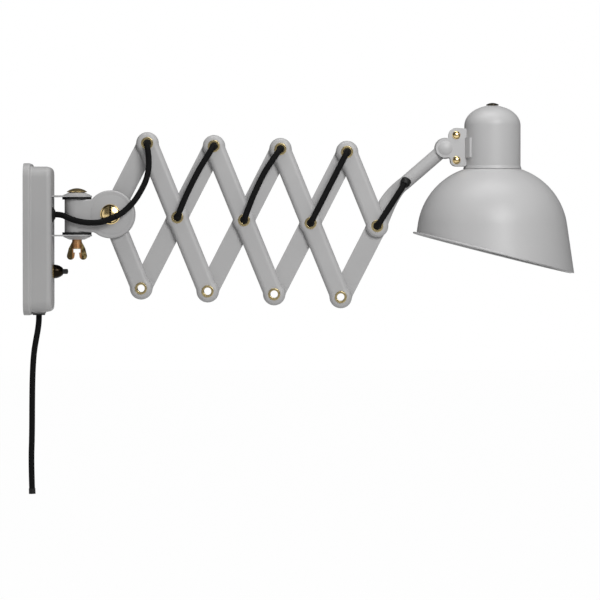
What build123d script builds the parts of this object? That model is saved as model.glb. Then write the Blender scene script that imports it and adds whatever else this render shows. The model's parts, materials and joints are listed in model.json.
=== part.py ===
from build123d import *
from math import asin, cos, pi, radians, sin, sqrt, tan
import os

os.makedirs("parts", exist_ok=True)

# Adjustable wall lamp on a scissor arm. Millimetres, +Z up, +X away from the wall.
# The origin is the centre of the wall box's back face. The viewer of the photograph is at -Y.

# Clearances
running_gap = 0.05
face_gap = 0.05
layer_gap = 0.3
ball_gap = 0.3
fit_gap = 0.3

# Wall box
box_width = 72.0
box_body_height = 193.0
box_depth = 37.0
box_corner = 14.0
box_wall = 2.0
box_front_round = 6.5
rim_depth = 9.5
rim_lip = 4.5
rim_round = 2.4
rim_blend = 2.0
rim_edge = 0.6
plate_thickness = 2.5
wall_screw_spacing = 120.0
wall_screw_radius = 2.5
lug_depth = 23.0
lug_thickness = 3.0
lug_width = 10.0
lug_y = 17.0
cover_screw_x = 18.0
cover_screw_radius = 2.0
cover_screw_head_radius = 3.6
cover_screw_head_height = 1.6

# Terminal block
terminal_width = 30.0
terminal_depth = 14.0
terminal_height = 18.0
terminal_z = -62.0
terminal_ways = 3
terminal_pitch = 9.0
terminal_hole_radius = 2.0

# Bracket and swing pivot
bracket_z = 31.2
bracket_sheet = 2.0
swing_x = 69.2
ear_radius = 20.0
bolt_radius = 5.0
washer_radius = 19.5
washer_thickness = 3.3
cone_base_radius = 18.0
cone_top_radius = 10.0
cone_height = 4.4
bolt_head_radius = 13.4
bolt_head_height = 5.3
wing_hub_radius = 6.5
wing_hub_height = 11.4
wing_span = 13.4
wing_drop = 26.8
wing_thickness = 3.4
wing_radius = 5.0
bolt_tail = 1.0

# Knuckle
barrel_radius = 16.5
barrel_height = 43.6
pivot_x = 114.8
pivot_z = 33.2
disc_radius = 32.0
dome_radius = 26.0
dome_step = 0.5
dome_rise = 1.6
disc_edge = 2.4
neck_blend_top = 1.5
neck_blend_bottom = 10.0
screw_seat_radius = 14.0

# Scissor linkage
half_arm = 106.5
spread_angle = 24.65
droop_angle = 2.5
bays = 4
arm_width = 27.0
arm_depth = 9.5
arm_edge = 6.5
boss_radius = 15.0
boss_blend = 12.0

# Pivot screw through the knuckle
pivot_radius = 5.0
pivot_head_radius = 13.3
pivot_head_rise = 4.5
pivot_slot_width = 2.2
pivot_slot_depth = 2.6
pivot_washer_thickness = 1.0
pivot_washer_radius = 15.0
pivot_nut_radius = 9.0
pivot_nut_height = 7.5

# Hollow rivets
rivet_bore_radius = 5.0
rivet_wall = 1.0
rivet_flange_radius = 8.0
rivet_flange = 1.2
rivet_edge = 0.5

# Cable
cable_radius = 3.95
cable_stand_off = 17.8
sleeve_length = 7.2
sleeve_wall = 0.5
grommet_radius = 9.8
grommet_nose_radius = 5.6
grommet_neck_radius = 7.8
grommet_height = 4.0
grommet_y = -10.0
grommet_z = 33.0
gland_radius = 9.5
gland_boss = 2.2
gland_nose_radius = 8.2
gland_neck_radius = 6.4
gland_height = 2.3
gland_x = 18.4
gland_rubber_radius = 8.5
snap_lip = 1.2
snap_height = 1.5
cable_entry_z = 32.0
cable_entry_radius = 8.0

# Switch
switch_z = -42.9
switch_radius = 9.2
switch_neck_radius = 6.0
switch_top_radius = 4.7
switch_bulge = (8.1, 8.0)
switch_height = 13.3
button_radius = 3.4
button_out = 7.2
button_travel = 3.0
button_hold = 6.0

# Lamp arm tube and ball
bend_reach = 51.5
bend_run = 16.0
tube_radius = 9.0
tube_angle = 40.8
tube_length = 88.4
ball_radius = 14.2
spigot_radius = 6.0
spigot_length = 14.0
rounding = (
    (6.0, 0.0, 12.6, 4.6),
    (27.0, -1.3, 12.0, 4.75),
    (44.0, -0.5, 10.8, 5.6),
)
rounding_inset = 0.5
tube_grommet_radius = 6.9
tube_grommet_nose = 5.4
tube_grommet_height = 3.5
tube_grommet_depth = 8.0
tube_entry = (505.3, -10.6, 72.7)
tube_entry_from = (500.6, -17.2, 65.4)

# Head clamp
clamp_sheet = 2.0
clamp_half_gap = 11.4
clamp_lobe_radius = 12.6
clamp_upper_x = 14.6
clamp_upper_z = 17.2
clamp_upper_radius = 9.8
clamp_lower_x = 14.9
clamp_lower_z = -16.0
clamp_lower_radius = 8.0
clamp_corner = 3.0
clamp_edge_top = 26.3
clamp_edge_bottom = -24.0
clamp_screw_radius = 2.5
clamp_head_radius = 5.3
clamp_head_rise = 2.6
clamp_nut_radius = 4.6
clamp_nut_height = 3.2
tab_height = 26.5
tab_half_width = 24.0
clamp_slot = 1.0

# Cap, shade and lamp holder
head_x = 623.6
cap_radius = 37.5
cap_wall = 1.2
cap_crown = 27.0
cap_crown_z = 151.5
cap_lip_radius = 39.0
cap_lip_height = 4.4
neck_z = 93.9
plug_radius = 8.4
plug_rise = 3.4
plug_stem_radius = 5.0
plug_stem_length = 8.0
shade_arc_radius = 91.0
shade_arc_r = 9.4
shade_arc_z = 7.2
shade_wall = 1.2
shade_cone_angle = 8.3
shade_neck_radius = 20.4
rim_centre_z = -17.6
rim_tilt = 14.2
bead_radius = 1.4
holder_radius = 20.0
holder_bottom_z = 86.0
holder_top_z = 150.0
holder_shoulder_radius = 23.0
holder_bore_radius = 13.4
holder_bore_depth = 30.0
holder_ring_radius = 27.0
holder_ring_height = 4.0
holder_neck_radius = 8.0

# Cable routes, points the cable bends at
front_bows = ((3.0, 3.0), (4.0, 5.0), ())
last_bends = ((490.4, -18.0, 49.6), tube_entry_from)
loop_bends = (
    (49.0, -10.0, 33.0),
    (58.5, -18.5, 28.5),
    (71.0, -23.5, 24.0),
    (88.0, -26.5, 21.5),
    (104.0, -29.5, 22.5),
    (122.0, -29.5, 29.8),
    (134.0, -27.0, 37.3),
    (146.5, -24.5, 49.3),
    (156.5, -22.0, 65.5),
    (163.2, -20.3, 80.0),
    (166.2, -19.0, 95.5),
    (165.8, -18.2, 110.8),
)
mains_bends = (
    (gland_x, 0.0, -109.0),
    (16.8, 0.1, -121.5),
    (14.2, 0.3, -135.0),
    (11.4, 0.5, -152.0),
    (9.7, 0.6, -178.0),
    (9.1, 0.5, -215.0),
    (8.9, 0.4, -262.0),
    (7.7, 0.3, -297.0),
    (8.9, 0.0, -332.8),
)


def save(builder, label):
    """Name a finished piece and write it to its own file."""
    builder.part.label = label
    export_step(builder.part, "parts/" + label + ".step")


# Linkage geometry: u runs out along the scissor, v stands square to it
droop = radians(droop_angle)
spread = radians(spread_angle)
step_out = 2 * half_arm * sin(spread)


def linkage_point(out, up):
    """Point of the linkage in the X-Z plane, from its place along and across the scissor."""
    x = pivot_x + out * cos(droop) + up * sin(droop)
    z = pivot_z - out * sin(droop) + up * cos(droop)
    return (x, 0.0, z)


reach_up = half_arm * cos(spread)
middle = [linkage_point(k * step_out, 0) for k in range(bays + 1)]
top = [linkage_point((k + 0.5) * step_out, reach_up) for k in range(bays)]
bottom = [linkage_point((k + 0.5) * step_out, -reach_up) for k in range(bays)]

front_side = -1
rear_side = 1
inner_face = layer_gap / 2
outer_face = inner_face + arm_depth


def arm_frame(start, end, side):
    """Plane on the inner face of an arm, x along the arm, z towards the arm's outer face."""
    along = Vector(*end) - Vector(*start)
    origin = (start[0], side * inner_face, start[2])
    return Plane(origin=origin, x_dir=along, z_dir=(0, side, 0))


def make_arm(start, end, side, pivots, bore_radii):
    """Pressed arm of flattened half-round section, with a boss and a bore at each pivot."""
    frame = arm_frame(start, end, side)
    length = pivots[-1]
    with BuildPart() as arm:
        with BuildSketch(frame) as outline:
            with Locations((length / 2, 0)):
                SlotCenterToCenter(length, arm_width)
            with Locations(*[(s, 0) for s in pivots]):
                Circle(boss_radius)
            corners = [v for v in outline.vertices() if is_notch(v)]
            fillet(corners, boss_blend)
        extrude(amount=arm_depth)
        outer = arm.faces().sort_by(Axis.Y)[-1 if side == rear_side else 0]
        fillet(outer.edges(), arm_edge)
        for s, radius in zip(pivots, bore_radii):
            with Locations(frame.offset(arm_depth / 2)):
                with Locations((s, 0)):
                    Cylinder(radius, 2 * arm_depth, mode=Mode.SUBTRACT)
    return arm


def is_notch(vertex):
    """True where the straight flank of the arm meets a boss."""
    return abs(abs(vertex.Y) - arm_width / 2) < 0.01


rivet_radius = rivet_bore_radius + rivet_wall
rivet_hole = rivet_radius + running_gap
screw_hole = pivot_radius + running_gap


rivet_reach = outer_face + face_gap
with BuildPart() as rivet:
    with BuildSketch(Plane.XY) as rivet_half:
        with Locations((rivet_bore_radius, 0)):
            Rectangle(rivet_wall, rivet_reach, align=(Align.MIN, Align.MIN))
        with Locations((rivet_bore_radius, rivet_reach)):
            Rectangle(
                rivet_flange_radius - rivet_bore_radius, rivet_flange, align=(Align.MIN, Align.MIN)
            )
        rolled = [v for v in rivet_half.vertices() if v.Y > rivet_reach + rivet_flange / 2]
        fillet(rolled, rivet_edge)
    revolve(axis=Axis.Y)
    mirror(about=Plane.XZ)


def make_rivets(label, places):
    """Copies of the hollow rivet, a tube with a rolled flange against the arm on each side."""
    with BuildPart() as rivets:
        with Locations(*places):
            add(rivet.part)
    save(rivets, label)


# Wall box: housing
box_outer_height = box_body_height + 2 * rim_lip
with BuildPart() as housing:
    with BuildSketch(Plane.YZ):
        RectangleRounded(box_width, box_body_height, box_corner)
    extrude(amount=box_depth)
    fillet(housing.faces().sort_by(Axis.X)[-1].edges(), box_front_round)
    with BuildSketch(Plane.YZ):
        RectangleRounded(box_width + 2 * rim_lip, box_outer_height, box_corner + rim_lip)
    extrude(amount=rim_depth)
    step_face = housing.faces().filter_by(Plane.YZ).group_by(Axis.X)[1][0]
    fillet(step_face.outer_wire().edges(), rim_round)
    step_face = housing.faces().filter_by(Plane.YZ).group_by(Axis.X)[1][0]
    fillet(step_face.inner_wires()[0].edges(), rim_blend)
    fillet(housing.faces().sort_by(Axis.X)[0].edges(), rim_edge)
    for ear_side in (-1, 1):
        ear_mid = bracket_z + ear_side * (barrel_height / 2 + washer_thickness + bracket_sheet / 2)
        with Locations((box_depth, 0, ear_mid)):
            Box(
                4 * box_wall, 2 * ear_radius + fit_gap, bracket_sheet + fit_gap, mode=Mode.SUBTRACT
            )
    with Locations(Plane(origin=(box_depth, grommet_y, grommet_z), z_dir=(1, 0, 0))):
        Cylinder(grommet_neck_radius + running_gap, 4 * box_wall, mode=Mode.SUBTRACT)
    with Locations(Plane(origin=(box_depth, 0, switch_z), z_dir=(1, 0, 0))):
        Cylinder(switch_neck_radius + running_gap, 4 * box_wall, mode=Mode.SUBTRACT)
    gland_seat = Plane(origin=(gland_x, 0, -box_body_height / 2), z_dir=(0, 0, -1))
    with Locations(gland_seat):
        Cylinder(gland_radius, 2 * gland_boss)
        Cylinder(gland_neck_radius + running_gap, 8 * box_wall, mode=Mode.SUBTRACT)
    with BuildSketch(Plane.YZ):
        RectangleRounded(
            box_width - 2 * box_wall, box_body_height - 2 * box_wall, box_corner - box_wall
        )
    extrude(amount=box_depth - box_wall, mode=Mode.SUBTRACT)
    for end in (-1, 1):
        seat = Plane(origin=(cover_screw_x, lug_y, end * box_body_height / 2), z_dir=(0, 0, end))
        with Locations(seat):
            CounterSinkHole(
                cover_screw_radius + running_gap, cover_screw_head_radius, 4 * box_wall
            )
save(housing, "housing")

# Wall box: back plate with two lugs that take the cover screws
cavity_half = box_body_height / 2 - box_wall
with BuildPart() as back_plate:
    with BuildSketch(Plane.YZ):
        RectangleRounded(
            box_width - 2 * box_wall - 2 * fit_gap,
            2 * cavity_half - 2 * fit_gap,
            box_corner - box_wall - fit_gap,
        )
        with GridLocations(1, wall_screw_spacing, 1, 2):
            Circle(wall_screw_radius, mode=Mode.SUBTRACT)
        with Locations((0, cable_entry_z)):
            Circle(cable_entry_radius, mode=Mode.SUBTRACT)
    extrude(amount=plate_thickness)
    for end in (-1, 1):
        lug_mid = end * (cavity_half - fit_gap - lug_thickness / 2)
        with Locations((lug_depth / 2 + plate_thickness / 2, lug_y, lug_mid)):
            Box(lug_depth - plate_thickness, lug_width, lug_thickness)
        with Locations((cover_screw_x, lug_y, lug_mid)):
            Cylinder(cover_screw_radius + running_gap, 2 * lug_thickness, mode=Mode.SUBTRACT)
save(back_plate, "back_plate")

with BuildPart() as cover_screws:
    for end in (-1, 1):
        seat = Plane(origin=(cover_screw_x, lug_y, end * box_body_height / 2), z_dir=(0, 0, -end))
        with Locations(seat.offset(face_gap)):
            Cone(
                cover_screw_head_radius - 2 * face_gap,
                cover_screw_radius,
                cover_screw_head_height,
                align=(Align.CENTER, Align.CENTER, Align.MIN),
            )
            Cylinder(
                cover_screw_radius,
                box_wall + lug_thickness + 1,
                align=(Align.CENTER, Align.CENTER, Align.MIN),
            )
save(cover_screws, "cover_screws")

# Wall box: terminal block on the back plate
with BuildPart() as terminal_block:
    with Locations((plate_thickness + terminal_depth / 2, 0, terminal_z)):
        Box(terminal_depth, terminal_width, terminal_height)
    fillet(terminal_block.edges().filter_by(Axis.X), 1.5)
    ways = Plane(origin=(plate_thickness + terminal_depth, 0, terminal_z), z_dir=(1, 0, 0))
    with Locations(ways):
        with GridLocations(1, terminal_pitch, 1, terminal_ways):
            Hole(terminal_hole_radius, terminal_depth / 2)
save(terminal_block, "terminal_block")

# Bracket: one folded sheet whose base lies inside the front wall
ear_inner = barrel_height / 2 + washer_thickness + 2 * face_gap
bracket_height = 2 * (ear_inner + bracket_sheet)
base_x = box_depth - box_wall - bracket_sheet
with BuildPart() as bracket:
    with Locations((base_x + bracket_sheet / 2, 0, bracket_z)):
        Box(bracket_sheet, 2 * ear_radius, bracket_height)
    for side in (-1, 1):
        with BuildSketch(Plane.XY.offset(bracket_z + side * (ear_inner + bracket_sheet / 2))):
            with Locations((swing_x, 0)):
                Circle(ear_radius)
            with Locations(((base_x + swing_x) / 2, 0)):
                Rectangle(swing_x - base_x, 2 * ear_radius)
            with Locations((swing_x, 0)):
                Circle(bolt_radius + running_gap, mode=Mode.SUBTRACT)
        extrude(amount=bracket_sheet / 2, both=True)
    with Locations(Plane(origin=(base_x, grommet_y, grommet_z), z_dir=(1, 0, 0))):
        Cylinder(grommet_radius, 4 * bracket_sheet, mode=Mode.SUBTRACT)
save(bracket, "bracket")


def side_on(frame):
    """Plane that holds the axis of a frame, its y along that axis, for profiles to be turned."""
    return Plane(origin=frame.origin, x_dir=frame.x_dir, z_dir=-frame.y_dir)


def dome(frame, radius, rise, lip):
    """Domed disc standing on a plane, with a short straight lip below the dome."""
    ball = (radius**2 + rise**2) / (2 * rise)
    half = radius / 2
    mid = (half, lip + rise - ball + sqrt(ball**2 - half**2))
    with BuildSketch(side_on(frame)) as profile:
        with BuildLine():
            Polyline((0, lip + rise), (0, 0), (radius, 0), (radius, lip))
            ThreePointArc((radius, lip), mid, (0, lip + rise))
        make_face()
    revolve(profile.sketch, axis=Axis(frame.origin, frame.z_dir))


def ring(frame, outer, inner, height):
    """Flat ring standing on a plane."""
    with BuildSketch(frame) as flat:
        Circle(outer)
        Circle(inner, mode=Mode.SUBTRACT)
    extrude(flat.sketch, amount=height)


# Swing pivot: washers, bolt and wing nut
with BuildPart() as fibre_washers:
    for side in (-1, 1):
        base = bracket_z + side * (barrel_height / 2 + face_gap)
        ring(
            Plane(origin=(swing_x, 0, base), z_dir=(0, 0, side)),
            washer_radius,
            bolt_radius + running_gap,
            washer_thickness,
        )
save(fibre_washers, "fibre_washers")

ear_outer = ear_inner + bracket_sheet
with BuildPart() as cone_washers:
    for side in (-1, 1):
        base = bracket_z + side * (ear_outer + face_gap)
        with BuildSketch(Plane(origin=(swing_x, 0, base), x_dir=(1, 0, 0), z_dir=(0, -1, 0))):
            with BuildLine():
                Polyline(
                    (bolt_radius + running_gap, 0),
                    (cone_base_radius, 0),
                    (cone_base_radius, side * 0.8),
                    (cone_top_radius, side * cone_height),
                    (bolt_radius + running_gap, side * cone_height),
                    close=True,
                )
            make_face()
        revolve(axis=Axis((swing_x, 0, base), (0, 0, 1)))
save(cone_washers, "cone_washers")

cone_outer = ear_outer + 2 * face_gap + cone_height
nut_bottom = cone_outer + wing_hub_height
with BuildPart() as bracket_bolt:
    head_frame = Plane(origin=(swing_x, 0, bracket_z + cone_outer), z_dir=(0, 0, 1))
    dome(head_frame, bolt_head_radius, bolt_head_height - 0.8, 0.8)
    shank = Plane(origin=(swing_x, 0, bracket_z + cone_outer), z_dir=(0, 0, -1))
    with BuildSketch(shank):
        Circle(bolt_radius)
    extrude(amount=cone_outer + nut_bottom + bolt_tail)
save(bracket_bolt, "bracket_bolt")

nut_top_z = bracket_z - cone_outer - face_gap
wing_frame = Plane.XZ.shift_origin((swing_x, 0, nut_top_z))
with BuildPart() as wing_nut:
    with Locations((swing_x, 0, nut_top_z)):
        Cylinder(
            wing_hub_radius, wing_hub_height, align=(Align.CENTER, Align.CENTER, Align.MAX)
        )
    for side in (-1, 1):
        wing_rounds = (
            (wing_hub_radius - 2.6, 3.2, 2.4),
            (wing_span - wing_radius - 1.6, wing_hub_height + 1.6, wing_radius - 0.6),
            (wing_span - wing_radius, wing_drop - wing_radius, wing_radius),
        )
        with BuildSketch(wing_frame):
            for out, down, radius in wing_rounds:
                with Locations((side * out, -down)):
                    Circle(radius)
            make_hull()
        extrude(amount=wing_thickness / 2, both=True)
    with Locations((swing_x, 0, nut_top_z)):
        Cylinder(bolt_radius + running_gap, 3 * wing_hub_height, mode=Mode.SUBTRACT)
save(wing_nut, "wing_nut")


def wall_ring(frame, flange, nose, height, neck, through):
    """Cable bush in a wall: tapered nose outside, neck through the wall, snap lip inside."""
    with BuildSketch(side_on(frame)) as profile:
        with BuildLine():
            Polyline(
                (0, height),
                (nose, height),
                (flange, height * 0.3),
                (flange, 0),
                (neck, 0),
                (neck, -through - face_gap),
                (neck + snap_lip, -through - face_gap),
                (neck, -through - face_gap - snap_height),
                (0, -through - face_gap - snap_height),
                close=True,
            )
        make_face()
    revolve(profile.sketch, axis=Axis(frame.origin, frame.z_dir))


# Cable bushes in the wall box
grommet_face = (box_depth + face_gap + grommet_height, grommet_y, grommet_z)
with BuildPart() as cable_grommet:
    grommet_frame = Plane(origin=(box_depth + face_gap, grommet_y, grommet_z), z_dir=(1, 0, 0))
    wall_ring(
        grommet_frame, grommet_radius, grommet_nose_radius, grommet_height,
        grommet_neck_radius, box_wall,
    )
save(cable_grommet, "cable_grommet")

gland_top = -box_body_height / 2 - gland_boss - face_gap
gland_face = (gland_x, 0.0, gland_top - gland_height)
with BuildPart() as mains_gland:
    gland_frame = Plane(origin=(gland_x, 0, gland_top), z_dir=(0, 0, -1))
    wall_ring(
        gland_frame, gland_rubber_radius, gland_nose_radius, gland_height,
        gland_neck_radius, gland_boss + box_wall,
    )
save(mains_gland, "mains_gland")

# Switch: domed bushing and push button
switch_frame = Plane(origin=(box_depth + face_gap, 0, switch_z), z_dir=(1, 0, 0))
with BuildPart() as switch_bushing:
    with BuildSketch(side_on(switch_frame)):
        with BuildLine():
            Polyline(
                (0, switch_height),
                (0, -2 * box_wall),
                (switch_neck_radius, -2 * box_wall),
                (switch_neck_radius, 0),
                (switch_radius, 0),
                (switch_radius, 1.2),
            )
            ThreePointArc(
                (switch_radius, 1.2), switch_bulge, (switch_top_radius, switch_height)
            )
            Line((switch_top_radius, switch_height), (0, switch_height))
        make_face()
    revolve(axis=Axis(switch_frame.origin, switch_frame.z_dir))
    with Locations(switch_frame.offset(switch_height)):
        Hole(button_radius + running_gap, button_hold + button_travel + fit_gap)
save(switch_bushing, "switch_bushing")

with BuildPart() as push_button:
    button_frame = switch_frame.offset(switch_height - button_hold)
    dome(button_frame, button_radius, 1.0, button_hold + button_out - 1.0)
save(push_button, "push_button")

# Knuckle: barrel on the swing bolt, two round cheeks for the arms
cheek_inner = outer_face + 2 * face_gap + pivot_washer_thickness
boss_clearance = boss_radius + 1.6
arm_lean = radians(110)
lean_offset = boss_radius - 0.4
pivot_frame = Plane.XZ.shift_origin((pivot_x, 0, pivot_z))
neck_mid = bracket_z - pivot_z


def neck_notch(outline, level):
    """Corners where the neck of the knuckle runs into the round cheek at one level."""
    found = outline.vertices().filter_by_position(Axis.Y, level - 0.01, level + 0.01)
    return [v for v in found if v.X > swing_x - pivot_x + 1]


def lean_line(up):
    """Points along the back flank of an arm that leans over as far as it can."""
    along = (cos(arm_lean), up * sin(arm_lean))
    square = (-sin(arm_lean), up * cos(arm_lean))
    foot = (lean_offset * square[0], lean_offset * square[1])
    meet = -foot[1] / along[1]
    reach = 2 * disc_radius
    return [
        (foot[0] + meet * along[0], 0),
        (foot[0] + reach * along[0], foot[1] + reach * along[1]),
        (reach, foot[1] + reach * along[1]),
    ]


with BuildPart() as knuckle:
    with BuildSketch(pivot_frame) as cheek:
        Circle(disc_radius)
        with Locations(((swing_x - pivot_x) / 2, neck_mid)):
            Rectangle(pivot_x - swing_x, barrel_height)
        fillet(neck_notch(cheek, neck_mid + barrel_height / 2), neck_blend_top)
        fillet(neck_notch(cheek, neck_mid - barrel_height / 2), neck_blend_bottom)
    extrude(amount=barrel_radius, both=True)
    flats = knuckle.faces().filter_by(Plane.XZ)
    rounded = [e for e in flats.edges() if e.center().X > swing_x + 1]
    fillet(rounded, disc_edge)
    with BuildSketch(Plane.XY.offset(bracket_z)):
        with Locations((swing_x, 0)):
            Circle(barrel_radius)
    extrude(amount=barrel_height / 2, both=True)
    for side in (-1, 1):
        seat = Plane(
            origin=(pivot_x, side * barrel_radius, pivot_z), x_dir=(1, 0, 0), z_dir=(0, side, 0)
        )
        with BuildSketch(side_on(seat)):
            with BuildLine():
                Polyline(
                    (0, -1),
                    (dome_radius, -1),
                    (dome_radius, dome_step),
                    (screw_seat_radius, dome_rise),
                    (0, dome_rise),
                    close=True,
                )
            make_face()
        revolve(axis=Axis(seat.origin, seat.z_dir))
    with BuildSketch(pivot_frame):
        Circle(boss_clearance)
        with BuildLine():
            upper = lean_line(1)
            lower = lean_line(-1)
            Polyline(*upper, *lower[:0:-1], close=True)
        make_face()
    extrude(amount=cheek_inner, both=True, mode=Mode.SUBTRACT)
    with Locations(pivot_frame):
        Cylinder(screw_hole, 4 * barrel_radius, mode=Mode.SUBTRACT)
    with Locations((swing_x, 0, bracket_z)):
        Cylinder(bolt_radius + running_gap, 2 * barrel_height, mode=Mode.SUBTRACT)
save(knuckle, "knuckle")

# Pivot screw, its nut and the friction washers
screw_seat = barrel_radius + dome_rise + face_gap
with BuildPart() as pivot_screw:
    head = Plane(origin=(pivot_x, -screw_seat, pivot_z), x_dir=(1, 0, 0), z_dir=(0, -1, 0))
    dome(head, pivot_head_radius, pivot_head_rise - 1, 1)
    with BuildSketch(Plane(origin=head.origin, x_dir=(1, 0, 0), z_dir=(0, 1, 0))):
        Circle(pivot_radius)
    extrude(amount=2 * screw_seat + pivot_nut_height * 0.6)
    with Locations((pivot_x, -screw_seat - pivot_head_rise, pivot_z)):
        Box(
            pivot_slot_width, 2 * pivot_slot_depth, 4 * pivot_head_radius, mode=Mode.SUBTRACT
        )
save(pivot_screw, "pivot_screw")

with BuildPart() as pivot_nut:
    nut_seat = Plane(origin=(pivot_x, screw_seat, pivot_z), x_dir=(1, 0, 0), z_dir=(0, 1, 0))
    dome(nut_seat, pivot_nut_radius, 3.5, pivot_nut_height - 3.5)
    with Locations(nut_seat):
        Cylinder(pivot_radius + running_gap, pivot_nut_height * 1.3, mode=Mode.SUBTRACT)
save(pivot_nut, "pivot_nut")

with BuildPart() as pivot_washers:
    for side in (-1, 1):
        rest = Plane(
            origin=(pivot_x, side * (outer_face + face_gap), pivot_z),
            x_dir=(1, 0, 0),
            z_dir=(0, side, 0),
        )
        ring(rest, pivot_washer_radius, screw_hole, pivot_washer_thickness)
save(pivot_washers, "pivot_washers")

# Arms: the front layer leans down and out, the rear layer leans up and out
full_arm = 2 * half_arm
half_pivots = (0, half_arm)
full_pivots = (0, half_arm, full_arm)
root_bores = (screw_hole, rivet_hole)
full_bores = (rivet_hole, rivet_hole, rivet_hole)
save(make_arm(middle[0], bottom[0], front_side, half_pivots, root_bores), "lower_half_arm")
save(make_arm(middle[0], top[0], rear_side, half_pivots, root_bores), "upper_half_arm")
for k in range(1, bays):
    front_arm = make_arm(top[k - 1], bottom[k], front_side, full_pivots, full_bores)
    save(front_arm, "front_arm_" + str(k))
    rear_arm = make_arm(bottom[k - 1], top[k], rear_side, full_pivots, full_bores)
    save(rear_arm, "rear_arm_" + str(k))
last_half = make_arm(top[bays - 1], middle[bays], front_side, half_pivots, full_bores[:2])
save(last_half, "front_half_arm")

# Hollow rivets, grouped by the arm that carries them
make_rivets("rivet_upper_half_arm", [top[0]])
make_rivets("rivet_lower_half_arm", [bottom[0]])
for k in range(1, bays):
    make_rivets("rivets_front_arm_" + str(k), [middle[k], bottom[k]])
    make_rivets("rivet_rear_arm_" + str(k), [top[k]])
make_rivets("rivet_front_half_arm", [middle[bays]])

# Lamp arm: the last rear arm runs on past its middle pivot, rounds out and bends into a tube
lamp_foot = Vector(*middle[bays])
lamp_along = (lamp_foot - Vector(*bottom[bays - 1])).normalized()
lamp_across = Vector(lamp_along.Z, 0, -lamp_along.X)
bend = lamp_foot + lamp_along * bend_reach
tube_along = Vector(cos(radians(tube_angle)), 0, sin(radians(tube_angle)))
ball = bend + tube_along * tube_length
tube_plane = Plane(origin=bend + tube_along * bend_run, x_dir=(0, 1, 0), z_dir=tube_along)
spigot_plane = Plane(origin=ball, z_dir=-tube_along)
entry_along = Vector(*tube_entry) - Vector(*tube_entry_from)
entry_plane = Plane(origin=tube_entry, z_dir=entry_along)
lamp_blank = make_arm(bottom[bays - 1], middle[bays], rear_side, half_pivots, full_bores[:2])
with BuildPart() as lamp_arm:
    for reach, shift, half_width, half_depth in rounding:
        place = lamp_foot + lamp_along * reach + lamp_across * shift
        place = place + Vector(0, inner_face + rounding_inset + half_depth, 0)
        with BuildSketch(Plane(origin=place, x_dir=(0, 1, 0), z_dir=lamp_along)):
            Ellipse(half_depth, half_width)
    with BuildSketch(tube_plane):
        Circle(tube_radius)
    loft()
    with BuildSketch(tube_plane):
        Circle(tube_radius)
    extrude(amount=tube_length - bend_run)
    add(lamp_blank.part)
    with Locations(Plane.XZ.shift_origin(middle[bays])):
        Cylinder(rivet_hole, 4 * arm_depth, mode=Mode.SUBTRACT)
    with Locations(Plane(origin=(middle[bays][0], outer_face, middle[bays][2]), z_dir=(0, 1, 0))):
        Cylinder(
            boss_radius,
            arm_depth,
            align=(Align.CENTER, Align.CENTER, Align.MIN),
            mode=Mode.SUBTRACT,
        )
    with Locations(ball):
        Sphere(ball_radius + ball_gap, mode=Mode.SUBTRACT)
    with Locations(spigot_plane):
        Cylinder(
            spigot_radius + running_gap,
            ball_radius + spigot_length + fit_gap,
            align=(Align.CENTER, Align.CENTER, Align.MIN),
            mode=Mode.SUBTRACT,
        )
    with Locations(entry_plane.offset(-tube_grommet_height)):
        Cylinder(
            tube_grommet_radius + running_gap,
            tube_grommet_depth + tube_grommet_height + running_gap,
            align=(Align.CENTER, Align.CENTER, Align.MIN),
            mode=Mode.SUBTRACT,
        )
save(lamp_arm, "lamp_arm")

with BuildPart() as tube_grommet:
    with BuildSketch(side_on(entry_plane)):
        with BuildLine():
            Polyline(
                (0, 0),
                (tube_grommet_nose, 0),
                (tube_grommet_radius, tube_grommet_height),
                (tube_grommet_radius, tube_grommet_depth),
                (0, tube_grommet_depth),
                close=True,
            )
        make_face()
    revolve(axis=Axis(entry_plane.origin, entry_plane.z_dir))
save(tube_grommet, "tube_grommet")

# Ball on a spigot that turns in the end of the tube
with BuildPart() as ball_joint:
    with Locations(ball):
        Sphere(ball_radius)
    with Locations(spigot_plane):
        Cylinder(
            spigot_radius,
            ball_radius + spigot_length,
            align=(Align.CENTER, Align.CENTER, Align.MIN),
        )
save(ball_joint, "ball_joint")

# Head clamp: two dimpled plates grip the ball, their ends fold out round the cap
clamp_frame = Plane.XZ.shift_origin((ball.X, 0, ball.Z))
clamp_outer = clamp_half_gap + clamp_sheet
cap_x = head_x - ball.X
tab_mid = (clamp_upper_z - clamp_lower_z) * 0.5 + clamp_lower_z
head_axis = Axis((head_x, 0, 0), (0, 0, 1))
clamp_rounds = (
    (clamp_upper_x, clamp_upper_z, clamp_upper_radius),
    (clamp_lower_x, clamp_lower_z, clamp_lower_radius),
    (cap_x - cap_radius, clamp_edge_top - clamp_corner, clamp_corner),
    (cap_x - cap_radius, clamp_edge_bottom + clamp_corner, clamp_corner),
)
clamp_screw_places = (
    (ball.X + clamp_upper_x, 0, ball.Z + clamp_upper_z),
    (ball.X + clamp_lower_x, 0, ball.Z + clamp_lower_z),
)


def on_lobe(vertex):
    """True for a corner on the round lobe over the ball."""
    return abs(sqrt(vertex.X**2 + vertex.Y**2) - clamp_lobe_radius) < 0.01


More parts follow.
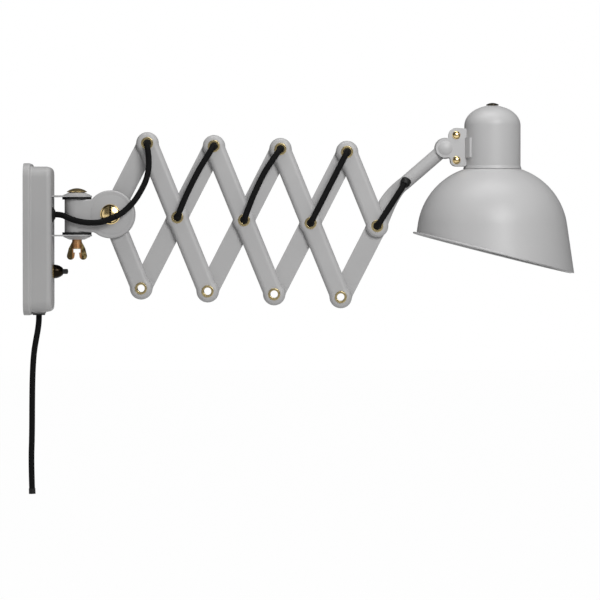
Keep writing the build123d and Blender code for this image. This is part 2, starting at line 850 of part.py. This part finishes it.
def make_clamp(label, side):
    """One plate of the head clamp, with its dimple, screw holes and folded tab."""
    inner = Plane(
        origin=(ball.X, side * clamp_half_gap, ball.Z), x_dir=(1, 0, 0), z_dir=(0, -1, 0)
    )
    shell = Location(ball) * Sphere(ball_radius + ball_gap + clamp_sheet)
    core = inner * Cylinder(
        clamp_lobe_radius,
        2 * ball_radius,
        align=(Align.CENTER, Align.CENTER, Align.MIN if side == front_side else Align.MAX),
    )
    dimple = shell & core
    with BuildPart() as clamp:
        with BuildSketch(inner) as outline:
            for x, z, radius in clamp_rounds:
                with Locations((x, z)):
                    Circle(radius)
            make_hull()
            Circle(clamp_lobe_radius)
            fillet([v for v in outline.vertices() if on_lobe(v)], clamp_corner)
        extrude(amount=-side * clamp_sheet)
        add(dimple)
        with Locations((head_x, 0, ball.Z)):
            Cylinder(cap_radius + face_gap, 4 * tab_height, mode=Mode.SUBTRACT)
        with Locations((head_x, 0, neck_z + cap_lip_height + face_gap)):
            Cylinder(
                cap_lip_radius + face_gap,
                tab_height,
                align=(Align.CENTER, Align.CENTER, Align.MAX),
                mode=Mode.SUBTRACT,
            )
        with BuildSketch(Plane.XY.offset(ball.Z + tab_mid)):
            with Locations((head_x, 0)):
                Circle(cap_radius + face_gap + clamp_sheet)
                Circle(cap_radius + face_gap, mode=Mode.SUBTRACT)
            with Locations((head_x, side * clamp_half_gap)):
                Rectangle(
                    2 * cap_radius,
                    tab_half_width - clamp_half_gap,
                    align=(Align.MAX, Align.MIN if side == rear_side else Align.MAX),
                    mode=Mode.INTERSECT,
                )
        extrude(amount=tab_height / 2, both=True)
        with Locations(ball):
            Sphere(ball_radius + ball_gap, mode=Mode.SUBTRACT)
        for place in clamp_screw_places:
            with Locations(Plane.XZ.shift_origin(place)):
                Cylinder(
                    clamp_screw_radius + running_gap, 4 * clamp_outer, mode=Mode.SUBTRACT
                )
    save(clamp, label)


make_clamp("clamp_front", front_side)
make_clamp("clamp_rear", rear_side)

with BuildPart() as clamp_screws:
    for x, y, z in clamp_screw_places:
        seat = Plane(
            origin=(x, -clamp_outer - face_gap, z), x_dir=(1, 0, 0), z_dir=(0, -1, 0)
        )
        dome(seat, clamp_head_radius, clamp_head_rise - 0.8, 0.8)
        with Locations(seat):
            Cylinder(
                clamp_screw_radius,
                2 * clamp_outer + clamp_nut_height + 1,
                align=(Align.CENTER, Align.CENTER, Align.MAX),
            )
        with Locations(seat.offset(clamp_head_rise)):
            Box(4 * clamp_head_radius, clamp_slot, clamp_slot * 2, mode=Mode.SUBTRACT)
save(clamp_screws, "clamp_screws")

with BuildPart() as clamp_nuts:
    for x, y, z in clamp_screw_places:
        seat = Plane(origin=(x, clamp_outer + face_gap, z), x_dir=(1, 0, 0), z_dir=(0, 1, 0))
        with BuildSketch(seat):
            RegularPolygon(clamp_nut_radius, 6)
            Circle(clamp_screw_radius + running_gap, mode=Mode.SUBTRACT)
        extrude(amount=clamp_nut_height)
save(clamp_nuts, "clamp_nuts")

# Cap over the lamp holder, closed by a brass plug
head_plane = Plane(origin=(head_x, 0, 0), x_dir=(1, 0, 0), z_dir=(0, -1, 0))
cap_inner = cap_radius - cap_wall
cap_lip_inner = cap_lip_radius - cap_wall
cap_straight_z = neck_z + cap_lip_height
cap_top_z = cap_crown_z + cap_crown
with BuildPart() as cap:
    with BuildSketch(head_plane):
        with BuildLine():
            Polyline(
                (cap_lip_inner, neck_z),
                (cap_lip_radius, neck_z),
                (cap_radius, cap_straight_z),
                (cap_radius, cap_crown_z),
            )
            EllipticalCenterArc((0, cap_crown_z), cap_radius, cap_crown, 0, arc_size=90)
            Line((0, cap_top_z), (0, cap_top_z - cap_wall))
            EllipticalCenterArc((0, cap_crown_z), cap_inner, cap_crown - cap_wall, 0, arc_size=90)
            Polyline(
                (cap_inner, cap_crown_z), (cap_inner, cap_straight_z), (cap_lip_inner, neck_z)
            )
        make_face()
    revolve(axis=head_axis)
    with Locations((head_x, 0, cap_top_z)):
        Cylinder(plug_stem_radius + running_gap, cap_crown, mode=Mode.SUBTRACT)
save(cap, "cap")

with BuildPart() as top_plug:
    plug_seat = Plane(origin=(head_x, 0, cap_top_z + face_gap))
    dome(plug_seat, plug_radius, plug_rise - 1, 1)
    with Locations(plug_seat):
        Cylinder(
            plug_stem_radius, plug_stem_length, align=(Align.CENTER, Align.CENTER, Align.MAX)
        )
save(top_plug, "top_plug")

# Shade: one arc from the neck, then a cone, cut by a sloping plane and closed by a bead
cone_tilt = radians(shade_cone_angle)
rim_slope = radians(rim_tilt)
flange_top = neck_z - face_gap
cone_end_z = rim_centre_z - 1.5 * shade_arc_radius * tan(rim_slope)


def shade_side(inset):
    """Three points of the shade's arc, from the neck down to where the cone begins."""
    radius = shade_arc_radius - inset
    first = asin((flange_top - inset - shade_arc_z) / radius)
    angles = (first, (first + cone_tilt) / 2, cone_tilt)
    return [(shade_arc_r + radius * cos(a), shade_arc_z + radius * sin(a)) for a in angles]


def cone_foot(shoulder):
    """Lower end of the cone line that runs on from the arc."""
    return (shoulder[0] + (shoulder[1] - cone_end_z) * tan(cone_tilt), cone_end_z)


outer_side = shade_side(0)
inner_side = shade_side(shade_wall)
cone_radius = outer_side[-1][0] + (outer_side[-1][1] - rim_centre_z) * tan(cone_tilt)
rim_shift = tan(cone_tilt) * tan(rim_slope)
rim_long = cone_radius / (1 - rim_shift**2) / cos(rim_slope) - shade_wall / 2
rim_wide = cone_radius / sqrt(1 - rim_shift**2) - shade_wall / 2
rim_offset = cone_radius * rim_shift / (1 - rim_shift**2)
rim_plane = Plane(
    origin=(head_x, 0, rim_centre_z),
    x_dir=(cos(rim_slope), 0, -sin(rim_slope)),
    z_dir=(sin(rim_slope), 0, cos(rim_slope)),
)
with BuildPart() as shade:
    with BuildSketch(head_plane):
        with BuildLine():
            Line((shade_neck_radius, flange_top), outer_side[0])
            ThreePointArc(*outer_side)
            Polyline(
                outer_side[-1], cone_foot(outer_side[-1]), cone_foot(inner_side[-1]),
                inner_side[-1],
            )
            ThreePointArc(*inner_side)
            Polyline(
                inner_side[0],
                (shade_neck_radius, flange_top - shade_wall),
                (shade_neck_radius, flange_top),
            )
        make_face()
    revolve(axis=head_axis)
    split(bisect_by=rim_plane, keep=Keep.TOP)
    with BuildLine(rim_plane) as rim:
        with Locations((rim_offset / cos(rim_slope), 0)):
            EllipticalCenterArc((0, 0), rim_long, rim_wide, 0, arc_size=180)
    with BuildSketch(Plane(origin=rim.line @ 0, z_dir=rim.line % 0)):
        Circle(bead_radius)
    half_bead = sweep(path=rim.wire())
    mirror(half_bead, about=Plane.XZ)
save(shade, "shade")

with BuildPart() as lamp_holder:
    stem_top = cap_top_z + face_gap - plug_stem_length - face_gap
    with BuildSketch(head_plane):
        with BuildLine():
            Polyline(
                (0, holder_bottom_z),
                (holder_radius, holder_bottom_z),
                (holder_radius, flange_top - shade_wall - face_gap - holder_ring_height),
                (holder_ring_radius, flange_top - shade_wall - face_gap - holder_ring_height),
                (holder_ring_radius, flange_top - shade_wall - face_gap),
                (holder_radius, flange_top - shade_wall - face_gap),
                (holder_radius, flange_top + face_gap),
                (holder_shoulder_radius, flange_top + face_gap),
                (holder_shoulder_radius, cap_straight_z),
                (holder_radius, cap_straight_z),
                (holder_radius, holder_top_z),
                (holder_neck_radius, holder_top_z),
                (holder_neck_radius, stem_top),
                (0, stem_top),
                close=True,
            )
        make_face()
    revolve(axis=head_axis)
    with Locations((head_x, 0, holder_bottom_z)):
        Cylinder(holder_bore_radius, 2 * holder_bore_depth, mode=Mode.SUBTRACT)
save(lamp_holder, "lamp_holder")


def bend_radii(route):
    """Radius of the arc at each corner of a route, from the shorter of the two runs beside it."""
    radii = []
    for before, corner, after in zip(route, route[1:], route[2:]):
        first = Vector(*corner) - Vector(*before)
        second = Vector(*after) - Vector(*corner)
        half_turn = radians(first.get_angle(second)) / 2
        radii.append(0.45 * min(first.length, second.length) / tan(half_turn))
    return radii


def make_cable(label, route):
    """Round cable along a route of straight runs joined by arcs."""
    radii = bend_radii(route)
    start = Vector(*route[0])
    with BuildPart() as cable:
        with BuildLine() as path:
            FilletPolyline(*route, radius=radii)
        with BuildSketch(Plane(origin=start, z_dir=Vector(*route[1]) - start)):
            Circle(cable_radius)
        sweep(path=path.wire())
    expected = pi * cable_radius**2 * path.wire().length
    print(label, "length", round(path.wire().length, 1), "least radius", round(min(radii), 1))
    print("  volume over section times length", round(cable.part.volume / expected, 4))
    save(cable, label)


def between(start, end, share, bow):
    """Point part of the way from one pivot to another, bowed up and to the left of the line."""
    x = start[0] + (end[0] - start[0]) * share
    z = start[2] + (end[2] - start[2]) * share
    along = Vector(end[0] - start[0], 0, end[2] - start[2]).normalized()
    return (x - along.Z * bow, z + along.X * bow)


def pinned_route(start, end, bows, level):
    """Cable that leaves one hollow rivet, runs beside the arms and dips into the next rivet."""
    shares = [(n + 1) / (len(bows) + 1) for n in range(len(bows))]
    bowed = [between(start, end, share, bow) for share, bow in zip(shares, bows)]
    outside = [(start[0], start[2])] + bowed + [(end[0], end[2])]
    return [start] + [(x, level, z) for x, z in outside] + [end]


# Cables pinned to the arms: up the front from each middle rivet, down the back from each top one
for k in range(1, bays):
    front_route = pinned_route(middle[k], top[k], front_bows[k - 1], -cable_stand_off)
    make_cable("front_cable_" + str(k), front_route)
for k in range(1, bays + 1):
    rear_route = pinned_route(top[k - 1], middle[k], (), cable_stand_off)
    make_cable("rear_cable_" + str(k), rear_route)
last_foot = (middle[bays][0], -cable_stand_off, middle[bays][2])
make_cable("front_cable_" + str(bays), [middle[bays], last_foot, *last_bends, tube_entry])

# Free cables: the loop from the wall box to the first top rivet, and the mains cord
loop_end = (top[0][0], -cable_stand_off, top[0][2])
make_cable("cable_loop", [grommet_face, *loop_bends, loop_end, top[0]])
make_cable("mains_cord", [gland_face, *mains_bends])
with BuildPart() as cord_end_sleeve:
    cord_end = Vector(*mains_bends[-1])
    end_along = cord_end - Vector(*mains_bends[-2])
    with Locations(Plane(origin=cord_end, z_dir=end_along)):
        Cylinder(
            cable_radius + sleeve_wall,
            sleeve_length,
            align=(Align.CENTER, Align.CENTER, Align.MIN),
        )
save(cord_end_sleeve, "cord_end_sleeve")
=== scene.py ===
import json
from math import pi

import bmesh
import bpy
from mathutils import Matrix, Vector


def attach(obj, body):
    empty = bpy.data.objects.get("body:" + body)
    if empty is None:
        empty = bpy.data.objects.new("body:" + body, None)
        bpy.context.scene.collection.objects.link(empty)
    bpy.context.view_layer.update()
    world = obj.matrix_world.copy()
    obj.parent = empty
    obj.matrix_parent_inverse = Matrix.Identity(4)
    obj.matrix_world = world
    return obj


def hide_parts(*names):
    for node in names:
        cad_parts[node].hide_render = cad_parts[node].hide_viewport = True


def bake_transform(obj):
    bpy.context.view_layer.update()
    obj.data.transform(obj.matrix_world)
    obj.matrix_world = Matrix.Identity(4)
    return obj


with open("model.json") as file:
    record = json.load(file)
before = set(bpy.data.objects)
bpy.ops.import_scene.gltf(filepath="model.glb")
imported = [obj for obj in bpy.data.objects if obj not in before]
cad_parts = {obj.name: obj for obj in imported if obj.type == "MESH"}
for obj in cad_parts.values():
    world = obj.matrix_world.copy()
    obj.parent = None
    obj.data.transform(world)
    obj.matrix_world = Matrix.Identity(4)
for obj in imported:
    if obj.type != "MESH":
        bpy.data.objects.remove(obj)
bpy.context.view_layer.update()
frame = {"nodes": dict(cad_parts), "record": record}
nodes = frame["nodes"]
scene = bpy.context.scene
mm = 0.001

# Camera, level with the arm and far off, as in a catalogue picture
view_width = 0.801
view_centre = Vector((0.3669, 0.0, -0.0810))
camera_distance = 4.5
camera_rise = 0.066
sensor = 36.0
camera_data = bpy.data.cameras.new("camera")
camera_data.sensor_width = sensor
camera_data.lens = sensor * camera_distance / view_width
camera_data.clip_end = 60.0
camera = bpy.data.objects.new("camera", camera_data)
scene.collection.objects.link(camera)
camera.location = view_centre + Vector((0.0, -camera_distance, camera_rise))
camera.rotation_euler = (view_centre - camera.location).to_track_quat("-Z", "Y").to_euler()
scene.camera = camera

# Cables: a braided textile sleeve over two wires
cable_radius = 3.95 * mm
grommet_face = (41.05, -10.0, 33.0)
gland_face = (18.4, 0.0, -101.05)
top_rivet = (163.44, 0.0, 127.98)
stand_off = -17.8
braid_pitch = 1.9 * mm
knuckle_side = (122.0, -29.5, 29.8)
first_loop = (
    grommet_face,
    (49.0, -10.0, 33.0),
    (58.5, -18.5, 28.5),
    (71.0, -23.5, 24.0),
    (88.0, -26.5, 21.5),
    (104.0, -29.5, 22.5),
    (114.6, -29.5, 26.7),
    knuckle_side,
)
second_loop = (
    knuckle_side,
    (129.0, -28.1, 33.5),
    (134.0, -27.0, 37.3),
    (146.5, -24.5, 49.3),
    (156.5, -22.0, 65.5),
    (163.2, -20.3, 80.0),
    (166.2, -19.0, 95.5),
    (165.8, -18.2, 110.8),
    (top_rivet[0], stand_off, top_rivet[2]),
    top_rivet,
)
mains_route = (
    gland_face,
    (18.4, 0.0, -109.0),
    (16.8, 0.1, -121.5),
    (14.2, 0.3, -135.0),
    (11.4, 0.5, -152.0),
    (9.7, 0.6, -178.0),
    (9.1, 0.5, -215.0),
    (8.9, 0.4, -262.0),
    (7.7, 0.3, -297.0),
    (8.9, 0.0, -332.8),
)


def cable_curve(name, route):
    """Smooth cable along a route given in millimetres."""
    data = bpy.data.curves.new(name, "CURVE")
    data.dimensions = "3D"
    # Blender widens a curve's bounds by each point's radius, so that carries the thickness
    data.bevel_depth = 1.0
    data.bevel_resolution = 6
    data.use_fill_caps = True
    data.resolution_u = 16
    spline = data.splines.new("NURBS")
    spline.points.add(len(route) - 1)
    for point, place in zip(spline.points, route):
        point.co = (*[c * mm for c in place], 1.0)
        point.radius = cable_radius
    spline.order_u = 3
    spline.use_endpoint_u = True
    spline.resolution_u = 16
    cable = bpy.data.objects.new(name, data)
    scene.collection.objects.link(cable)
    return cable


mains_cable = cable_curve("mains_cable", mains_route)
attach(mains_cable, "wall_box")
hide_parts("mains_cord")


class Value:
    """Socket that takes part in plain arithmetic. Each sign adds its Math node."""

    def __init__(self, finish, socket):
        self.finish = finish
        self.socket = socket

    def math(self, operation, first, second):
        return self.finish.node("Math", {"operation": operation}, {0: first, 1: second})

    def __add__(self, other):
        return self.math("ADD", self, other)

    def __radd__(self, other):
        return self.math("ADD", other, self)

    def __sub__(self, other):
        return self.math("SUBTRACT", self, other)

    def __rsub__(self, other):
        return self.math("SUBTRACT", other, self)

    def __mul__(self, other):
        return self.math("MULTIPLY", self, other)


class Finish:
    """Material, or the world, built from nodes, one call for each node."""

    def __init__(self, owner):
        self.material = owner
        owner.use_nodes = True
        self.tree = owner.node_tree
        self.tree.nodes.clear()

    def node(self, kind, settings=None, sockets=None, output=0):
        """Adds a node: first its settings, then its sockets."""
        made = self.tree.nodes.new("ShaderNode" + kind)
        for key, value in (settings or {}).items():
            setattr(made, key, value)
        for key, value in (sockets or {}).items():
            if isinstance(value, Value):
                self.tree.links.new(value.socket, made.inputs[key])
            else:
                made.inputs[key].default_value = value
        return Value(self, made.outputs[output])

    def noise(self, scale, detail=2.0, roughness=0.5):
        """Cloudy pattern from 0 to 1, with scale in waves to the metre."""
        place = self.node("TexCoord", output="Object")
        sockets = {"Vector": place, "Scale": scale, "Detail": detail}
        sockets["Roughness"] = roughness
        return self.node("TexNoise", {"noise_dimensions": "3D"}, sockets)

    def ramp(self, value, low, high):
        """Stretches part of a pattern to the whole range from 0 to 1."""
        return self.node("MapRange", {"clamp": True}, {0: value, 1: low, 2: high})

    def blend(self, share, first, second):
        """Colour between two colours, each a triple or a colour made before."""
        ends = [end if isinstance(end, Value) else (*end, 1.0) for end in (first, second)]
        return self.node("Mix", {"data_type": "RGBA"}, {0: share, 6: ends[0], 7: ends[1]}, 2)

    def distance(self, axis, level):
        """Distance from a level on one axis of the object: 0 is X, 1 is Y and 2 is Z."""
        place = self.node("TexCoord", output="Object")
        along = self.node("SeparateXYZ", sockets={0: place}, output=axis)
        return self.node("Math", {"operation": "ABSOLUTE"}, {0: along - level})

    def bump(self, height, depth, strength=1.0):
        """Relief of a height pattern, with its depth in metres."""
        return self.node(
            "Bump", sockets={"Strength": strength, "Distance": depth, "Height": height}
        )

    def surface(self, **looks):
        """Ends the material in a Principled shader. Underscores stand for spaces."""
        sockets = {key.replace("_", " "): value for key, value in looks.items()}
        return self.ending("OutputMaterial", self.node("BsdfPrincipled", sockets=sockets))

    def ending(self, kind, shader):
        """Links the last shader to the output and gives back the finished material."""
        end = self.tree.nodes.new("ShaderNode" + kind)
        self.tree.links.new(shader.socket, end.inputs["Surface"])
        return self.material


def new_finish(name):
    return Finish(bpy.data.materials.new(name))


def satin_paint(name, light, dark, roughness):
    """Sprayed satin paint: fine orange peel, faint clouds, grit and a few dull touches."""
    finish = new_finish(name)
    peel = finish.noise(1400.0, 2.0)
    clouds = finish.ramp(finish.noise(11.0, 3.0), 0.3, 0.7)
    touched = finish.ramp(finish.noise(55.0, 4.0, 0.6), 0.45, 0.75)
    specks = finish.ramp(finish.noise(900.0, 1.0), 0.70, 0.76)
    colour = finish.blend(clouds * 0.75 + specks * 0.25, light, dark)
    return finish.surface(
        Base_Color=colour,
        Roughness=roughness + touched * 0.07 - clouds * 0.02,
        Normal=finish.bump(peel, 0.00004, 0.35),
        Specular_IOR_Level=0.42,
    )


def polished_brass(name, bright, tarnished, roughness, painted_shade_band=None):
    """Polished brass with thin tarnish in fine clouds, turning marks and a few dark pits.

    The painted shade band darkens a level on one axis nearly to black: painted shade on a
    screw's slot floor and on the switch bushing. It gives the axis, where the level is and
    half its thickness.
    """
    finish = new_finish(name)
    clouds = finish.ramp(finish.noise(420.0, 3.0, 0.55), 0.40, 0.85)
    pits = finish.ramp(finish.noise(1500.0, 2.0), 0.66, 0.74)
    marks = finish.noise(2600.0, 2.0)
    colour = finish.blend(clouds * 0.55 + pits * 0.4, bright, tarnished)
    # Painted shade: the band on one axis is turned almost black
    if painted_shade_band:
        axis, level, half = painted_shade_band
        inside = finish.ramp(finish.distance(axis, level), 1.1 * half, 0.9 * half)
        colour = finish.blend(inside, colour, (0.012, 0.009, 0.006))
    return finish.surface(
        Base_Color=colour,
        Metallic=1.0,
        Roughness=roughness + clouds * 0.1,
        Normal=finish.bump(marks, 0.00002, 0.2),
    )


def wing_brass(name, axis_x, hub_radius):
    """Cast wing nut: copper red hub, old brown brass on the wings, worn bright in spots."""
    finish = new_finish(name)
    wing = finish.ramp(finish.distance(0, axis_x), 0.8 * hub_radius, 1.05 * hub_radius)
    worn = finish.ramp(finish.noise(260.0, 3.0, 0.6), 0.50, 0.72)
    brown = finish.blend(worn, (0.09, 0.066, 0.03), (0.60, 0.46, 0.20))
    copper = finish.blend(worn, (0.50, 0.24, 0.10), (0.70, 0.42, 0.20))
    return finish.surface(
        Base_Color=finish.blend(wing, copper, brown),
        Metallic=1.0,
        Roughness=0.36 - worn * 0.12,
        Normal=finish.bump(finish.noise(700.0, 3.0), 0.00008, 0.4),
    )


def moulded(name, light, dark, roughness, grain):
    """Dull moulded rubber, fibre or plastic with a fine grain."""
    finish = new_finish(name)
    pores = finish.noise(grain, 3.0, 0.6)
    dust = finish.ramp(finish.noise(120.0, 4.0, 0.6), 0.45, 0.85)
    return finish.surface(
        Base_Color=finish.blend(dust, dark, light),
        Roughness=roughness + dust * 0.1,
        Normal=finish.bump(pores, 0.00006, 0.4),
        Specular_IOR_Level=0.3,
    )


def plated_steel(name):
    """Zinc plated steel, grey and faintly clouded."""
    finish = new_finish(name)
    clouds = finish.ramp(finish.noise(90.0, 4.0, 0.6), 0.35, 0.7)
    return finish.surface(
        Base_Color=finish.blend(clouds, (0.42, 0.42, 0.43), (0.52, 0.51, 0.49)),
        Metallic=1.0,
        Roughness=0.34 + clouds * 0.12,
        Normal=finish.bump(finish.noise(1800.0, 2.0), 0.00003, 0.3),
    )


def braided_cloth(name, thread, gap):
    """Textile braid: two sets of slanting threads that cross over and under."""
    finish = new_finish(name)
    stitch = 2 * pi / braid_pitch
    ways = ((0.72, 0.45, 0.55), (-0.62, 0.5, 0.62))
    place = finish.node("TexCoord", output="Object")
    crossed = []
    for way in ways:
        along = finish.node(
            "VectorMath", {"operation": "DOT_PRODUCT"}, {0: place, 1: way}, "Value"
        )
        crossed.append(finish.node("Math", {"operation": "SINE"}, {0: along * stitch}))
    weave = crossed[0] * crossed[1] * 0.5 + 0.5
    fibre = finish.noise(3800.0, 2.0)
    height = weave * 0.8 + fibre * 0.2
    return finish.surface(
        Base_Color=finish.blend(finish.ramp(height, 0.25, 0.8), gap, thread),
        Roughness=0.86 - weave * 0.12,
        Normal=finish.bump(height, 0.00035, 0.8),
        Specular_IOR_Level=0.12,
    )


bolt_x = 69.2 * mm
nut_hub_radius = 6.5 * mm
# One grey paint in three copies: the head's copy is lighter, painted light, and the wall box's
# copy is darker, painted shade
lit_head_paint = satin_paint("lit_head_paint", (0.475, 0.473, 0.474), (0.440, 0.438, 0.441), 0.42)
grey_paint = satin_paint("grey_paint", (0.430, 0.427, 0.427), (0.395, 0.393, 0.395), 0.44)
shaded_box_paint = satin_paint("shaded_box_paint", (0.405, 0.402, 0.401), (0.370, 0.368, 0.369), 0.5)
polish = (0.88, 0.68, 0.34), (0.40, 0.27, 0.11), 0.22
brass = polished_brass("brass", *polish)
# Painted shade on the slot floors of the pivot screw and the clamp screws, and a painted-shade
# band across the switch bushing
pivot_brass = polished_brass("pivot_brass", *polish, (1, -20.05 * mm, 0.3 * mm))
screw_brass = polished_brass("screw_brass", *polish, (1, -15.05 * mm, 0.2 * mm))
switch_brass = polished_brass(
    "switch_brass", (0.34, 0.25, 0.11), (0.10, 0.075, 0.04), 0.26, (0, 46.0 * mm, 7.6 * mm)
)
rivet_brass = polished_brass("rivet_brass", (0.58, 0.47, 0.24), (0.20, 0.15, 0.07), 0.22)
dark_bronze = polished_brass("dark_bronze", (0.10, 0.085, 0.06), (0.03, 0.026, 0.02), 0.3)
wing_nut_brass = wing_brass("wing_nut_brass", bolt_x, nut_hub_radius)
steel = plated_steel("plated_steel")
rubber = moulded("black_rubber", (0.012, 0.012, 0.012), (0.005, 0.005, 0.005), 0.55, 1500.0)
fibre = moulded("black_fibre", (0.014, 0.014, 0.014), (0.006, 0.006, 0.006), 0.7, 2200.0)
plastic = moulded("dark_plastic", (0.035, 0.035, 0.035), (0.016, 0.016, 0.016), 0.4, 1100.0)
braid = braided_cloth("black_braid", (0.009, 0.009, 0.0095), (0.002, 0.002, 0.002))

finishes = {
    "grey_paint_steel": grey_paint,
    "grey_paint_alloy": grey_paint,
    "zinc_steel": steel,
    "brass": brass,
    "black_fibre": fibre,
    "black_rubber": rubber,
    "black_braid": braid,
    "dark_plastic": plastic,
}
special = {
    "housing": shaded_box_paint,
    "shade": lit_head_paint,
    "cap": lit_head_paint,
    "clamp_front": lit_head_paint,
    "clamp_rear": lit_head_paint,
    "wing_nut": wing_nut_brass,
    "top_plug": dark_bronze,
    "pivot_screw": pivot_brass,
    "clamp_screws": screw_brass,
    "switch_bushing": switch_brass,
}


def paint(piece, material):
    piece.data.materials.clear()
    piece.data.materials.append(material)


for part in frame["record"]["subparts"]:
    node = part["node"]
    usual = rivet_brass if node.startswith("rivet") else finishes[part["material_slot"]]
    paint(nodes[node], special.get(node, usual))
paint(mains_cable, braid)


# Cable loop: two lengths that meet beside the knuckle
def centreline(name, route):
    """Points of the smooth centreline along a route."""
    curve = cable_curve(name + "_line", route)
    curve.data.bevel_depth = 0.0
    bpy.context.view_layer.update()
    line = curve.evaluated_get(bpy.context.evaluated_depsgraph_get()).to_mesh()
    centres = [v.co.copy() for v in line.vertices]
    bpy.data.objects.remove(curve)
    return centres


def tube(name, centres, radius, sides=24):
    """Round tube along a line of points, closed at both ends."""
    made = bmesh.new()
    ring = None
    heading = (centres[1] - centres[0]).normalized()
    across = heading.orthogonal().normalized()
    for number, centre in enumerate(centres):
        before = centres[max(number - 1, 0)]
        after = centres[min(number + 1, len(centres) - 1)]
        ahead = (after - before).normalized()
        across = heading.rotation_difference(ahead) @ across
        heading = ahead
        turn = Matrix((across, heading.cross(across), heading)).transposed().to_4x4()
        turn.translation = centre
        circle = bmesh.ops.create_circle(
            made, cap_ends=False, segments=sides, radius=radius, matrix=turn
        )["verts"]
        edges = list({e for v in circle for e in v.link_edges})
        if ring:
            bmesh.ops.bridge_loops(made, edges=ring + edges)
        else:
            bmesh.ops.holes_fill(made, edges=edges, sides=sides)
        ring = edges
    bmesh.ops.holes_fill(made, edges=ring, sides=sides)
    bmesh.ops.recalc_face_normals(made, faces=made.faces)
    return finished(name, made)


def finished(name, made):
    """Object from a finished bmesh, with smooth faces."""
    mesh = bpy.data.meshes.new(name)
    for face in made.faces:
        face.smooth = len(face.verts) < 5
    made.to_mesh(mesh)
    made.free()
    piece = bpy.data.objects.new(name, mesh)
    scene.collection.objects.link(piece)
    return piece


def path_length(line):
    return sum((after - before).length for before, after in zip(line, line[1:]))


def loop_piece(name, route, bodies, start, end):
    """Length of the cable loop along a route, drawn as a closed braided tube in place of the
    CAD loop; prints its length.
    """
    line = centreline(name, route)
    cable = tube(name, line, cable_radius)
    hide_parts("cable_loop")
    paint(cable, braid)
    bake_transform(cable)
    print(name, round(path_length(line), 4), "m")


wall_bend = (46, -14, 30), (104, -28, 26)
arm_bend = (126, -28, 33), (160, -20, 96)
loop_piece("loop_at_wall", first_loop, ("wall_box", "knuckle"), *wall_bend)
loop_piece("loop_at_arm", second_loop, ("knuckle", "upper_arm"), *arm_bend)

# Rubber bushes that hold the cable in the hollow rivets
bush_outer = 4.95 * mm
bush_half = 9.6 * mm
bush_places = {
    "upper_arm": top_rivet,
    "rear_arm_body_1": (252.15, 0.0, 124.09),
    "rear_arm_body_2": (340.90, 0.0, 120.22),
    "rear_arm_body_3": (429.66, 0.0, 116.34),
    "front_arm_body_1": (203.55, 0.0, 29.33),
    "front_arm_body_2": (292.30, 0.0, 25.45),
    "front_arm_body_3": (381.06, 0.0, 21.58),
    "front_arm_body_4": (469.81, 0.0, 17.70),
}
for body, place in bush_places.items():
    middle = Vector(place) * mm
    ends = [middle + Vector((0.0, side * bush_half, 0.0)) for side in (-1, 1)]
    bush = tube("cable_bush_" + body, ends, bush_outer, 32)
    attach(bush, body)
    paint(bush, rubber)


# Studio: pale floor, white surround, soft lamps
def lamp(name, place, size, power, target=(0.33, 0.0, 0.03)):
    """Large soft lamp that faces the object."""
    data = bpy.data.lights.new(name, "AREA")
    data.shape = "ELLIPSE"
    data.size, data.size_y = size
    data.energy = power
    made = bpy.data.objects.new(name, data)
    scene.collection.objects.link(made)
    made.location = place
    made.rotation_euler = (Vector(target) - Vector(place)).to_track_quat("-Z", "Y").to_euler()


lamp("key_lamp", (1.0, -1.75, 0.95), (1.0, 1.0), 30.0, (0.45, 0.0, 0.03))
lamp("top_lamp", (0.35, -0.25, 1.7), (1.8, 0.7), 17.0)
lamp("left_lamp", (-1.6, -1.4, 0.5), (0.8, 1.4), 3.0)

floor_level = -0.60
floor_half = 12.0
floor_made = bmesh.new()
bmesh.ops.create_grid(floor_made, x_segments=1, y_segments=1, size=floor_half)
bmesh.ops.translate(floor_made, verts=floor_made.verts, vec=(0.0, 0.0, floor_level))
floor = finished("floor", floor_made)

white = (1.0, 1.0, 1.0, 1.0)
pale = (0.9, 0.9, 0.9, 1.0)
backdrop_share = 0.988
fill_strength = 0.08


def seen_directly(finish):
    """1 for rays from the camera or by way of glass and polished metal, and 0 for the rest."""
    kinds = ("Is Camera Ray", "Is Glossy Ray", "Is Transmission Ray")
    rays = [finish.node("LightPath", output=kind) for kind in kinds]
    return rays[0] + rays[1] + rays[2]


floor_finish = new_finish("pale_floor")
matt = floor_finish.node("BsdfDiffuse", sockets={"Color": pale})
glow = floor_finish.node("Emission", sockets={"Color": white, "Strength": 1.0})
share = seen_directly(floor_finish) * backdrop_share
paint(floor, floor_finish.ending(
    "OutputMaterial", floor_finish.node("MixShader", sockets={0: share, 1: matt, 2: glow})
))

scene.world = bpy.data.worlds.new("white_surround")
surround = Finish(scene.world)
straight = surround.node("LightPath", output="Is Camera Ray")
through = surround.node("LightPath", output="Is Transmission Ray")
dim = surround.node("Background", sockets={"Color": white, "Strength": fill_strength})
full = surround.node("Background", sockets={"Color": white, "Strength": 1.0})
surround.ending(
    "OutputWorld", surround.node("MixShader", sockets={0: straight + through, 1: dim, 2: full})
)

scene.view_settings.view_transform = "Standard"

bpy.context.view_layer.update()
